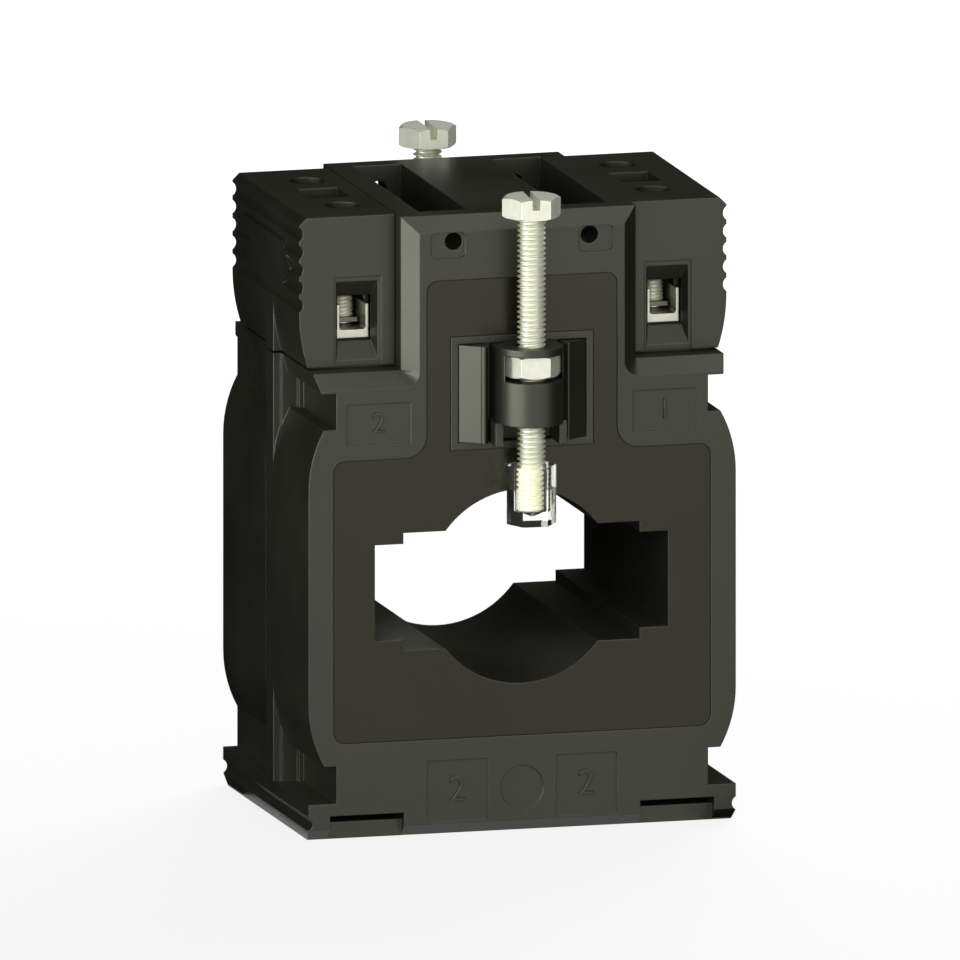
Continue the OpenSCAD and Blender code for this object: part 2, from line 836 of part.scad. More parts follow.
module screw_holder() {
    low = holder_z + cover_gap;
    high = holder_z + holder_h - cover_gap;
    side = holder_w / 2 - cover_gap;
    boss_r = boss_d / 2;
    slot_x = hex_af / sqrt(3) + nut_room / 4;
    slot_y = screw_out - hex_af / 2 - nut_room;
    bracket_x = (bracket_room + bracket_t) / 2;
    translate([0, -half_d, 0]) mirror([0, 1, 0]) difference() {
        union() {
            translate([0, 0, low]) linear_extrude(high - low) {
                for (s = [-1, 1]) scale([s, 1]) cheek_plan();
                translate([-side, -holder_base]) square([2 * side, holder_base - holder_groove]);
            }
            for (s = [-1, 1]) {
                translate([s * bracket_x - bracket_t / 2, -holder_groove, low]) {
                    cube([bracket_t, holder_groove + screw_out, boss_z - low + eps]);
                }
            }
            block([-boss_r, -holder_groove - eps, boss_z], [boss_r, screw_out, high]);
            translate([0, screw_out, boss_z]) cylinder(h = high + ring_rise - boss_z, r = boss_r);
        }
        translate([0, screw_out, low - 1]) cylinder(h = holder_h + 2, r = thread_d / 2 + screw_room);
        block([-slot_x, slot_y, nut_slot_z], [slot_x, screw_out + boss_d, nut_slot_z + nut_slot]);
    }
}

module clamp_nut() {
    translate([0, screw_y, nut_z]) rotate(nut_turn) difference() {
        hex_prism(hex_af, nut_h, nut_chamfer, nut_chamfer);
        translate([0, 0, -1]) cylinder(h = nut_h + 2, r = thread_d / 2);
    }
}

module clamp_screw(turn) {
    translate([0, screw_y, 0]) union() {
        translate([0, 0, head_z]) rotate(turn) difference() {
            hex_prism(hex_af, head_h, head_under_chamfer, head_chamfer);
            translate([-slot_w / 2, -hex_af, head_h - slot_depth]) cube([slot_w, 2 * hex_af, slot_depth + 1]);
        }
        translate([0, 0, shank_z + screw_chamfer]) {
            cylinder(h = shank_l - screw_chamfer, r = shank_r);
        }
        translate([0, 0, shank_z]) {
            cylinder(h = screw_chamfer, r1 = shank_r - screw_chamfer, r2 = shank_r);
        }
    }
}

module screw_tip() {
    hole_z = tip_z + tip_floor;
    translate([0, screw_y, 0]) difference() {
        translate([0, 0, tip_z]) rotate(nut_turn) hex_prism(tip_af, tip_l, tip_chamfer, tip_top_chamfer);
        translate([0, 0, hole_z]) cylinder(h = tip_l, r = thread_d / 2);
        translate([0, 0, hole_z - tip_cone]) {
            cylinder(h = tip_cone, r1 = tip_cone_r, r2 = thread_d / 2);
        }
    }
}

module front_screw_holder() {
    color(case_grey) screw_holder();
}

module rear_screw_holder() {
    color(case_grey) to_rear() screw_holder();
}

module front_clamp_nut() {
    color(plate_nickel) clamp_nut();
}

module rear_clamp_nut() {
    color(plate_nickel) rotate(180) clamp_nut();
}

module front_clamp_screw() {
    color(plate_nickel) clamp_screw(front_head_turn);
}

module rear_clamp_screw() {
    color(plate_nickel) rotate(180) clamp_screw(rear_head_turn);
}

module front_screw_tip() {
    color([0.85, 0.88, 0.82, 0.4]) screw_tip();
}

module rear_screw_tip() {
    color([0.85, 0.88, 0.82, 0.4]) rotate(180) screw_tip();
}

// ---------------------------------------------------------------- terminal covers

module cover_outline() {
    r = valley_r((rib_pitch - rib_crest) / 2, rib_depth);
    difference() {
        intersection() {
            translate([cover_x, cover_z]) square([half_w - cover_x, cover_top - cover_z]);
            union() {
                translate([cover_x, rib_z]) square([half_w - cover_x, cover_top - rib_z]);
                translate([half_w - cover_curve_r, rib_z]) circle(cover_curve_r, $fn = 120);
            }
        }
        for (i = [0 : rib_count - 2]) {
            translate([half_w + r - rib_depth, rib_z + (i + 0.5) * rib_pitch]) circle(r);
        }
        translate([half_w, cover_top]) rotate(45) square(cover_chamfer * sqrt(2), center = true);
    }
}

// The smooth arrow-shaped panel that interrupts the ribs, pointing to the front.
module arrow_panel() {
    low = rib_z + rib_pitch;
    high = low + 2.5 * rib_pitch;
    mid = (low + high) / 2;
    tip = arrow_start - cover_y;
    tail = arrow_tail - tip;
    along_width(cover_room_x1, half_w) {
        polygon([
            [tip, mid], [tip + arrow_barb, low], [tail, low],
            [-tip - arrow_barb, mid], [tail, high], [tip + arrow_barb, high]
        ]);
    }
}

// The square funnel that guides a wire into its hole, through one end wall.
module wire_funnel() {
    y0 = -cover_y + wire_panel_depth;
    y1 = -cover_y + wall;
    hole_x = wire_hole_w / 2;
    mouth_x = wire_mouth_w / 2;
    hole_z = [wire_z - wire_hole_h / 2, wire_z + wire_hole_h / 2];
    mouth_z = [-wire_mouth_h / 2, wire_mouth_h / 2] + (wire_z - wire_mouth_drop) * [1, 1];
    block([-hole_x, -cover_y - 1, hole_z[0]], [hole_x, y1 + 1, hole_z[1]]);
    intersection() {
        translate([0, 0, ledge_z]) linear_extrude(tower_h) {
            polygon([[-mouth_x, y0 - eps], [mouth_x, y0 - eps], [hole_x, y1], [-hole_x, y1]]);
        }
        along_width(-mouth_x, mouth_x) {
            polygon([
                [y0 - eps, mouth_z[0]], [y1, hole_z[0]], [y1, hole_z[1]], [y0 - eps, mouth_z[1]]
            ]);
        }
    }
    block([-wire_panel_w / 2, -cover_y - 1, cover_z - 1], [wire_panel_w / 2, y0, cover_z + wire_panel_h]);
}

module cover_room() {
    difference() {
        block(
            [cover_room_x0, wall - cover_y, cover_z - 1],
            [cover_room_x1, cover_y - wall, cover_top - wall]
        );
        for (s = [-1, 1]) {
            translate([term_x, s * term_y, cover_top - driver_l]) {
                cylinder(h = driver_l, r = driver_d / 2 + driver_wall);
            }
        }
    }
}

module terminal_cover() {
    difference() {
        union() {
            along_depth(-cover_y, cover_y) cover_outline();
            arrow_panel();
            block([cover_room_x1, -flange_t, cover_z], [half_w, 0, rib_z]);
        }
        cover_room();
        for (s = [-1, 1]) {
            translate([term_x, s * term_y, cover_top - driver_l - 1]) {
                cylinder(h = driver_l + 2, r = driver_d / 2);
            }
            translate([term_x, 0, 0]) scale([1, s, 1]) wire_funnel();
        }
        block(
            [term_x - test_hole_w / 2, -test_hole_l / 2, cover_top - wall - 1],
            [term_x + test_hole_w / 2, test_hole_l / 2, cover_top + 1]
        );
    }
}

module right_terminal_cover() {
    color(case_grey) terminal_cover();
}

module left_terminal_cover() {
    color(case_grey) to_left() terminal_cover();
}

// ---------------------------------------------------------------- contacts

// The folded channel that a wire lies in: outer corners round, open at the top.
module channel_outline() {
    outer_r = 2 * sheet_t;
    module cup(w, z0, r) {
        translate([-w / 2, z0 + r]) square([w, bar_h]);
        translate([r - w / 2, z0]) square([w - 2 * r, bar_h]);
        for (s = [-1, 1]) translate([s * (w / 2 - r), z0 + r]) circle(r);
    }
    difference() {
        intersection() {
            cup(bar_w, bar_z, outer_r);
            translate([-bar_w / 2, bar_z]) square([bar_w, bar_h]);
        }
        cup(bar_w - 2 * sheet_t, bar_z + sheet_t, sheet_t);
    }
}

module contact_bar() {
    lip_z = bar_z + sheet_t - bar_lip;
    tag_x = bar_w / 2;
    translate([term_x, 0, 0]) union() {
        for (s = [-1, 1]) scale([1, s, 1]) {
            along_depth(-bar_end_y, bar_channel_l - bar_end_y) channel_outline();
            block([-bar_w / 2, -bar_end_y, lip_z], [bar_w / 2, sheet_t - bar_end_y, bar_z + sheet_t]);
        }
        block([-bar_w / 2, -bar_end_y, bar_z], [bar_w / 2, bar_end_y, bar_z + sheet_t]);
        block(
            [tag_x - sheet_t, -tag_w / 2, bulge_z1 + tag_rise],
            [tag_x, tag_w / 2, bar_z + sheet_t]
        );
    }
}

module clamp_frame() {
    inner = bar_w / 2 + frame_gap;
    outer = inner + frame_t;
    high = frame_top_z + frame_top;
    translate([term_x, 0, 0]) difference() {
        block([-outer, -term_y - frame_l / 2, frame_z], [outer, frame_l / 2 - term_y, high]);
        block(
            [-inner, -term_y - frame_l, frame_z + frame_t],
            [inner, frame_l - term_y, frame_top_z]
        );
        translate([0, -term_y, frame_top_z - 1]) cylinder(h = frame_top + 2, r = term_d / 2);
    }
}

module pressure_plate() {
    translate([term_x, -term_y, plate_z]) difference() {
        translate([0, 0, plate_t / 2]) cube([plate_w, plate_l, plate_t], center = true);
        translate([0, 0, -1]) cylinder(h = plate_t + 2, r = neck_r + fit);
    }
}

module terminal_screw() {
    neck_z = plate_z - fit;
    shoulder_z = plate_z + plate_t + fit;
    translate([term_x, -term_y, 0]) difference() {
        union() {
            translate([0, 0, neck_z - button_t]) cylinder(h = button_t, r = button_r);
            translate([0, 0, neck_z]) cylinder(h = shoulder_z - neck_z, r = neck_r);
            translate([0, 0, shoulder_z]) cylinder(h = term_head_z - shoulder_z, r = term_d / 2 - fit);
            translate([0, 0, term_head_z]) cylinder(h = term_head_h, r = term_head_d / 2);
        }
        translate([0, 0, term_head_z + term_head_h]) {
            cube([term_slot_w, term_head_d + 1, 2 * term_slot_depth], center = true);
            cube([term_slot_l, term_slot_w, 2 * term_slot_depth], center = true);
        }
    }
}

module right_contact_bar() {
    color(plate_nickel) contact_bar();
}

module left_contact_bar() {
    color(plate_nickel) to_left() contact_bar();
}

module right_front_clamp_frame() {
    color("silver") clamp_frame();
}

module right_rear_clamp_frame() {
    color("silver") to_rear() clamp_frame();
}

module left_front_clamp_frame() {
    color("silver") to_left() clamp_frame();
}

module left_rear_clamp_frame() {
    color("silver") to_left() to_rear() clamp_frame();
}

module right_front_pressure_plate() {
    color("silver") pressure_plate();
}

module right_rear_pressure_plate() {
    color("silver") to_rear() pressure_plate();
}

module left_front_pressure_plate() {
    color("silver") to_left() pressure_plate();
}

module left_rear_pressure_plate() {
    color("silver") to_left() to_rear() pressure_plate();
}

module right_front_terminal_screw() {
    color(plate_nickel) terminal_screw();
}

module right_rear_terminal_screw() {
    color(plate_nickel) to_rear() terminal_screw();
}

module left_front_terminal_screw() {
    color(plate_nickel) to_left() terminal_screw();
}

module left_rear_terminal_screw() {
    color(plate_nickel) to_left() to_rear() terminal_screw();
}

// ---------------------------------------------------------------- core and winding

// The section of the core pack at a layer: the ring between its inner and outer outline,
// both drawn nearer to the middle of the pack by layer.
module pack_ring(layer) {
    w = pack_in[0] + 2 * layer;
    h = pack_in[1] + 2 * layer;
    t = pack_t - 2 * layer;
    translate([0, window_z]) difference() {
        rounded_rect(w + 2 * t, h + 2 * t, pack_r + t);
        rounded_rect(w, h, pack_r);
    }
}

// The solid ring of the pack at a layer.
module pack_body(layer) {
    along_depth(layer - pack_y, pack_y - layer) pack_ring(layer);
}

module winding_tape() {
    color([0.85, 0.75, 0.35]) difference() {
        pack_body(0);
        pack_body(tape_t);
    }
}

module secondary_winding() {
    color([0.72, 0.38, 0.18]) difference() {
        pack_body(tape_t);
        pack_body(tape_t + winding_t);
    }
}

module core_cap() {
    difference() {
        pack_body(tape_t + winding_t);
        pack_body(tape_t + winding_t + cap_t);
        block([-case_w, 0, 0], [case_w, case_d, case_h]);
    }
}

module front_core_cap() {
    color("dimgray") core_cap();
}

module rear_core_cap() {
    color("dimgray") to_rear() core_cap();
}

module core() {
    color([0.55, 0.56, 0.58]) pack_body(tape_t + winding_t + cap_t);
}

module winding_lead() {
    lead_z = window_z + pack_in[1] / 2 + pack_t;
    lead_x = term_x + bar_w / 2 - sheet_t - lead_d / 2;
    translate([lead_x, 0, lead_z]) cylinder(h = bulge_z1 + lead_rise - lead_z, r = lead_d / 2);
}

module right_winding_lead() {
    color([0.7, 0.15, 0.1]) winding_lead();
}

module left_winding_lead() {
    color([0.7, 0.15, 0.1]) to_left() winding_lead();
}

// ---------------------------------------------------------------- nodes

front_shell();
rear_shell();
front_label();
rear_label();
front_screw_holder();
rear_screw_holder();
front_clamp_nut();
rear_clamp_nut();
front_clamp_screw();
rear_clamp_screw();
front_screw_tip();
rear_screw_tip();
left_terminal_cover();
right_terminal_cover();
left_contact_bar();
right_contact_bar();
left_front_clamp_frame();
left_rear_clamp_frame();
right_front_clamp_frame();
right_rear_clamp_frame();
left_front_pressure_plate();
left_rear_pressure_plate();
right_front_pressure_plate();
right_rear_pressure_plate();
left_front_terminal_screw();
left_rear_terminal_screw();
right_front_terminal_screw();
right_rear_terminal_screw();
core();
front_core_cap();
rear_core_cap();
secondary_winding();
winding_tape();
left_winding_lead();
right_winding_lead();
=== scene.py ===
# %% [markdown]
# # A window-type current transformer
#
# The real thing is a dark moulded housing with a stepped window for a busbar or a cable. Two
# nickel-plated clamp screws with clear plastic tips hold it on the conductor, and two ribbed
# covers carry the terminals. Almost every form is rigid and already exact in the frame, so this
# lesson is mostly about surfaces: how to make plastic, film, nickel and clear plastic look like
# what they are. Only screw threads and raised numbers are made as new meshes.

# %% Load the frame
import json
import math
import bmesh
import bpy
from mathutils import Matrix, Vector


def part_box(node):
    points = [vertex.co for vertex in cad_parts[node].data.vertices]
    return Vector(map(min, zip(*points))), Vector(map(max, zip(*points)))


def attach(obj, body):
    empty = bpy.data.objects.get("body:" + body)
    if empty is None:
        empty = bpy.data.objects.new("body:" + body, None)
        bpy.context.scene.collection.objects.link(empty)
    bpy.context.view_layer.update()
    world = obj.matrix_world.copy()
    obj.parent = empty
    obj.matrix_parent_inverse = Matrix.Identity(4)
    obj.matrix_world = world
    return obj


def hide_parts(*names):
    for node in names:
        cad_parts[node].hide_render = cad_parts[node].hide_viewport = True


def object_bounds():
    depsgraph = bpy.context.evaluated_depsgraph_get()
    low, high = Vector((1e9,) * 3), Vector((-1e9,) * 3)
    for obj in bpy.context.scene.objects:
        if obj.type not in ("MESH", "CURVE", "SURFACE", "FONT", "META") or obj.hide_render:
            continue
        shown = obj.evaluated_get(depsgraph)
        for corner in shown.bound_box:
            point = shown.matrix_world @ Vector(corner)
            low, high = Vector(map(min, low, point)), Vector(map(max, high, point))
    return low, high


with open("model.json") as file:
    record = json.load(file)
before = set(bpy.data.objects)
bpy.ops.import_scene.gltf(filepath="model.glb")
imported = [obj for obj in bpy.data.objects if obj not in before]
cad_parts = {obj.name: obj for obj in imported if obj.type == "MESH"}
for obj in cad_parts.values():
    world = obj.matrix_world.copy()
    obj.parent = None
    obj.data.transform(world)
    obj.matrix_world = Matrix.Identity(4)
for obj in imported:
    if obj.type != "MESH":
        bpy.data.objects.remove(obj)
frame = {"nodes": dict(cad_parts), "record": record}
cad_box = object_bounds()
MM = 0.001

# %% [markdown]
# ## Camera
#
# A part this small is best shown without perspective, so that all edges along one direction stay
# parallel. An orthographic camera only needs a direction and a width. The direction is given as
# two angles: how far the camera stands to the left, and how far above the horizon.

# %% Place the camera
VIEW_LEFT = math.radians(15.3)
VIEW_UP = math.radians(10.83)
VIEW_WIDTH = 130.08 * MM
VIEW_ASIDE = -5.73 * MM      # from the front plane's middle to the view's middle, rightwards
VIEW_ABOVE = 5.85 * MM       # and upwards
FRONT_MIDDLE_HIGH = 42.5 * MM
CAMERA_FAR = 0.6

front_middle = Vector((0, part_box("front_shell")[0][1], FRONT_MIDDLE_HIGH))
to_camera = Vector((
    -math.sin(VIEW_LEFT) * math.cos(VIEW_UP),
    -math.cos(VIEW_LEFT) * math.cos(VIEW_UP),
    math.sin(VIEW_UP),
))
rightwards = Vector((math.cos(VIEW_LEFT), -math.sin(VIEW_LEFT), 0))
upwards = to_camera.cross(rightwards)
aim = front_middle + rightwards * VIEW_ASIDE + upwards * VIEW_ABOVE

camera = bpy.data.objects.new("camera", bpy.data.cameras.new("camera"))
bpy.context.scene.collection.objects.link(camera)
camera.data.type = "ORTHO"
camera.data.ortho_scale = VIEW_WIDTH
camera.data.clip_end = 10
camera.location = aim + to_camera * CAMERA_FAR
camera.rotation_euler = to_camera.to_track_quat("Z", "Y").to_euler()
bpy.context.scene.camera = camera
bpy.context.scene.view_settings.view_transform = "Standard"
print("camera at", tuple(round(v, 4) for v in camera.location))

# %% [markdown]
# ## Nodes in few words
#
# A procedural material is a small network. Two helpers keep the code that builds it short: one
# adds a node and sets its inputs by name, the other links an output to an input.

# %% Node helpers
def add_node(tree, kind, settings=None, **inputs):
    """Adds a shader node, sets its properties and the default values of its inputs."""
    node = tree.nodes.new(kind)
    for name, value in (settings or {}).items():
        setattr(node, name, value)
    for name, value in inputs.items():
        node.inputs[name.replace("_", " ")].default_value = value
    return node


def join(tree, output, target, name):
    """Links an output socket to the named input of a node."""
    tree.links.new(output, target.inputs[name])


def new_group(name, inputs, outputs):
    """An empty node group with named float inputs and named outputs, with its two end nodes."""
    tree = bpy.data.node_groups.new(name, "ShaderNodeTree")
    for label, value in inputs.items():
        socket = tree.interface.new_socket(label, in_out="INPUT", socket_type="NodeSocketFloat")
        socket.default_value = value
    for label, kind in outputs.items():
        tree.interface.new_socket(label, in_out="OUTPUT", socket_type=kind)
    return tree, tree.nodes.new("NodeGroupInput"), tree.nodes.new("NodeGroupOutput")


def linear(r, g, b):
    """The linear colour that a shader needs, from channels of 0 to 255 as seen on screen."""
    def channel(v):
        v = v / 255
        return v / 12.92 if v <= 0.04045 else ((v + 0.055) / 1.055) ** 2.4
    return (channel(r), channel(g), channel(b), 1)


print("a mid grey of 128 is", round(linear(128, 128, 128)[0], 3), "in linear light")

# %% [markdown]
# ## Floor and background
#
# The background is plain white, seen directly, in reflections and through the clear tips. It
# lights nothing by itself: the Light Path node tells the kinds of ray apart, and for diffuse rays
# the world is only a dim, even glow. The floor is mostly such a white too, with a share of real
# diffuse white, which keeps a soft shadow under the part.

# %% Make floor and world
AMBIENT = 0.10
FLOOR_GLOW = 0.86
FLOOR_PAINT = 0.14
FLOOR_HALF = 3.0
floor_height = cad_box[0][2]


def seen_directly(tree):
    """1 for camera, glossy and transmission rays, 0 for diffuse ones."""
    path = add_node(tree, "ShaderNodeLightPath")
    either = add_node(tree, "ShaderNodeMath", {"operation": "MAXIMUM"})
    tree.links.new(path.outputs["Is Camera Ray"], either.inputs[0])
    tree.links.new(path.outputs["Is Glossy Ray"], either.inputs[1])
    any_ray = add_node(tree, "ShaderNodeMath", {"operation": "MAXIMUM"})
    tree.links.new(either.outputs[0], any_ray.inputs[0])
    tree.links.new(path.outputs["Is Transmission Ray"], any_ray.inputs[1])
    return any_ray.outputs[0]


def choose(tree, factor, when_off, when_on):
    """A value that goes from when_off to when_on with the factor."""
    node = add_node(tree, "ShaderNodeMapRange", To_Min=when_off, To_Max=when_on)
    join(tree, factor, node, "Value")
    return node.outputs["Result"]


world = bpy.data.worlds.new("studio")
bpy.context.scene.world = world
world.use_nodes = True
tree = world.node_tree
background = tree.nodes["Background"]
background.inputs["Color"].default_value = (1, 1, 1, 1)
join(tree, choose(tree, seen_directly(tree), AMBIENT, 1), background, "Strength")

floor_mesh = bpy.data.meshes.new("floor")
floor_mesh.from_pydata(
    [(x * FLOOR_HALF, y * FLOOR_HALF, floor_height)
     for x, y in ((-1, -1), (1, -1), (1, 1), (-1, 1))],
    [], [(0, 1, 2, 3)],
)
floor = bpy.data.objects.new("floor", floor_mesh)
bpy.context.scene.collection.objects.link(floor)

floor_paint = bpy.data.materials.new("floor white")
floor_paint.use_nodes = True
tree = floor_paint.node_tree
tree.nodes.clear()
end = add_node(tree, "ShaderNodeOutputMaterial")
matt = add_node(tree, "ShaderNodeBsdfDiffuse", Color=(FLOOR_PAINT, FLOOR_PAINT, FLOOR_PAINT, 1))
glow = add_node(tree, "ShaderNodeEmission", Color=(1, 1, 1, 1))
both = add_node(tree, "ShaderNodeAddShader")
join(tree, choose(tree, seen_directly(tree), 0.0, FLOOR_GLOW), glow, "Strength")
tree.links.new(matt.outputs[0], both.inputs[0])
tree.links.new(glow.outputs[0], both.inputs[1])
join(tree, both.outputs[0], end, "Surface")
floor_mesh.materials.append(floor_paint)
print("floor at height", round(floor_height, 5))

# %% [markdown]
# ## Studio light
#
# Dark plastic is mostly seen by what it mirrors. A large soft box straight in front lights the
# front faces. A small one to the left only shows in the slanted edges that face it, and a third
# above catches the chamfers under it. A last soft box behind the part lights the rear for whoever
# walks round it, and nothing mirrors that one.

# %% Place soft boxes
STUDIO_AIM = Vector((0, 0, 45 * MM))


def soft_box(name, towards, distance, width, height, strength, mirror_only=False, hidden=False):
    """A rectangular area light. Its strength is its brightness, and 1 is the background's white."""
    lamp = bpy.data.lights.new(name, "AREA")
    lamp.shape = "RECTANGLE"
    lamp.size = width
    lamp.size_y = height
    lamp.energy = strength * math.pi * width * height
    box = bpy.data.objects.new(name, lamp)
    direction = Vector(towards).normalized()
    box.location = STUDIO_AIM + direction * distance
    box.rotation_euler = direction.to_track_quat("Z", "Y").to_euler()
    box.visible_camera = False
    box.visible_diffuse = not mirror_only
    box.visible_glossy = not hidden
    bpy.context.scene.collection.objects.link(box)


def bearing(degrees, rise):
    """The direction at an angle from straight ahead of the part, positive to its right."""
    return (math.sin(math.radians(degrees)), -math.cos(math.radians(degrees)), rise)


soft_box("front box", bearing(0, 0.22), distance=0.60, width=0.94, height=0.60, strength=1.8)
soft_box("left strip", bearing(-66, 0.13), distance=0.20, width=0.23, height=0.15, strength=6.0,
         mirror_only=True)
soft_box("top box", (0.26, -0.19, 0.95), distance=0.45, width=0.26, height=0.26, strength=1.6,
         mirror_only=True)
soft_box("rear box", bearing(150, 0.36), distance=0.60, width=0.60, height=0.60, strength=6.5,
         hidden=True)

# %% [markdown]
# A screen of black cloth stands round the back and lies on the floor there, so that sides and top
# don't mirror the white round them. It is seen in reflections only. On the floor it begins at a
# rectangle just outside the foot, and one more strip lies along the left side, for the foot alone.

# %% Hang black cloth round the back
CLOTH_FROM, CLOTH_TO = 45, 253       # bearings between which everything is dark
CLOTH_PANELS = 8
CLOTH_FAR = 0.45
CLOTH_HIGH = 0.90
CLOTH_LIFT = 0.0002                  # above the floor, so that the two never lie in one plane
NEAR_X, NEAR_Y = 0.031, 0.024        # half the rectangle at which the cloth on the floor begins
STRIP_END = 0.080
NOT_ZERO = 1e-6
cloth_height = floor_height + CLOTH_LIFT
screen_mesh = bpy.data.meshes.new("black cloth")
corners, quads = [], []
for i in range(CLOTH_PANELS + 1):
    x, y, _ = bearing(CLOTH_FROM + (CLOTH_TO - CLOTH_FROM) * i / CLOTH_PANELS, 0)
    reach = min(NEAR_X / max(abs(x), NOT_ZERO), NEAR_Y / max(abs(y), NOT_ZERO))
    corners += [
        (x * reach, y * reach, cloth_height),
        (x * CLOTH_FAR, y * CLOTH_FAR, cloth_height),
        (x * CLOTH_FAR, y * CLOTH_FAR, CLOTH_HIGH),
    ]
for i in range(CLOTH_PANELS):
    for k in (0, 1):
        first = 3 * i + k
        quads.append((first, first + 1, first + 4, first + 3))
beside = len(corners)                # the strip along the left side starts at this corner
corners += [
    (-x, y, cloth_height)
    for x, y in ((NEAR_X, -NEAR_Y), (STRIP_END, -NEAR_Y), (STRIP_END, NEAR_Y), (NEAR_X, NEAR_Y))
]
quads.append(tuple(range(beside, beside + 4)))
screen_mesh.from_pydata(corners, [], quads)
screen = bpy.data.objects.new("black cloth", screen_mesh)
bpy.context.scene.collection.objects.link(screen)
screen.visible_camera = False
screen.visible_diffuse = False
screen.visible_transmission = False
screen.visible_shadow = False
cloth = bpy.data.materials.new("black cloth")
cloth.use_nodes = True
surface = cloth.node_tree.nodes["Principled BSDF"]
surface.inputs["Base Color"].default_value = (0, 0, 0, 1)
surface.inputs["Specular IOR Level"].default_value = 0
screen_mesh.materials.append(cloth)
print("cloth of", len(quads), "pieces, from bearing", CLOTH_FROM, "to", CLOTH_TO)

# %% [markdown]
# ## Effects that several finishes share
#
# *Fine grain* is what spark erosion leaves on a mould: tiny even bumps, which every moulded piece
# copies. *Mottle* is the slow drift of tone and gloss over a moulding. *Soft edges* rounds every
# edge in the shading alone, by the Bevel node, and tells where the edges are. Each is a node group
# with a few inputs, built once, so that one finish can use it stronger than another.

# %% Group: fine grain
grain_tree, grain_in, grain_out = new_group(
    "Fine grain", {"Grains per metre": 5000.0, "Detail": 2.0}, {"Height": "NodeSocketFloat"})
grain_at = add_node(grain_tree, "ShaderNodeTexCoord")
speckle = add_node(grain_tree, "ShaderNodeTexNoise", Roughness=0.6)
join(grain_tree, grain_at.outputs["Object"], speckle, "Vector")
join(grain_tree, grain_in.outputs["Grains per metre"], speckle, "Scale")
join(grain_tree, grain_in.outputs["Detail"], speckle, "Detail")
join(grain_tree, speckle.outputs["Fac"], grain_out, "Height")

# %% Group: mottle
mottle_tree, mottle_in, mottle_out = new_group(
    "Mottle", {"Patches per metre": 60.0, "Low": 0.9, "High": 1.1}, {"Value": "NodeSocketFloat"})
mottle_at = add_node(mottle_tree, "ShaderNodeTexCoord")
cloud = add_node(mottle_tree, "ShaderNodeTexNoise", Detail=4.0, Roughness=0.55)
spread = add_node(mottle_tree, "ShaderNodeMapRange", From_Min=0.3, From_Max=0.7)
join(mottle_tree, mottle_at.outputs["Object"], cloud, "Vector")
join(mottle_tree, mottle_in.outputs["Patches per metre"], cloud, "Scale")
join(mottle_tree, cloud.outputs["Fac"], spread, "Value")
join(mottle_tree, mottle_in.outputs["Low"], spread, "To Min")
join(mottle_tree, mottle_in.outputs["High"], spread, "To Max")
join(mottle_tree, spread.outputs["Result"], mottle_out, "Value")

# %% Group: soft edges
edge_tree, edge_in, edge_out = new_group(
    "Soft edges", {"Radius": 0.00015, "Sharpness": 4.0},
    {"Edge": "NodeSocketFloat", "Normal": "NodeSocketVector"})
rounding = add_node(edge_tree, "ShaderNodeBevel", {"samples": 6})
flat = add_node(edge_tree, "ShaderNodeNewGeometry")
agree = add_node(edge_tree, "ShaderNodeVectorMath", {"operation": "DOT_PRODUCT"})
differ = add_node(edge_tree, "ShaderNodeMath", {"operation": "SUBTRACT"})
strong = add_node(edge_tree, "ShaderNodeMath", {"operation": "MULTIPLY", "use_clamp": True})
join(edge_tree, edge_in.outputs["Radius"], rounding, "Radius")
edge_tree.links.new(rounding.outputs["Normal"], agree.inputs[0])
edge_tree.links.new(flat.outputs["Normal"], agree.inputs[1])
differ.inputs[0].default_value = 1
edge_tree.links.new(agree.outputs["Value"], differ.inputs[1])
edge_tree.links.new(differ.outputs[0], strong.inputs[0])
edge_tree.links.new(edge_in.outputs["Sharpness"], strong.inputs[1])
join(edge_tree, strong.outputs[0], edge_out, "Edge")
join(edge_tree, rounding.outputs["Normal"], edge_out, "Normal")
print("groups:", [g.name for g in bpy.data.node_groups])

# %% [markdown]
# ## A finish from its parts
#
# Most finishes here are built alike: a base colour that drifts a little and is painted lighter
# at the edges as a painted highlight, a roughness that drifts too, and a bump on top of softened
# edges. One function builds that network from a few numbers, and each finish then adds only what is
# its own.

# %% Build a finish
def use_group(tree, name, **values):
    """Places a shared node group in a material and sets its inputs."""
    node = tree.nodes.new("ShaderNodeGroup")
    node.node_tree = bpy.data.node_groups[name]
    for label, value in values.items():
        node.inputs[label.replace("_", " ")].default_value = value
    return node


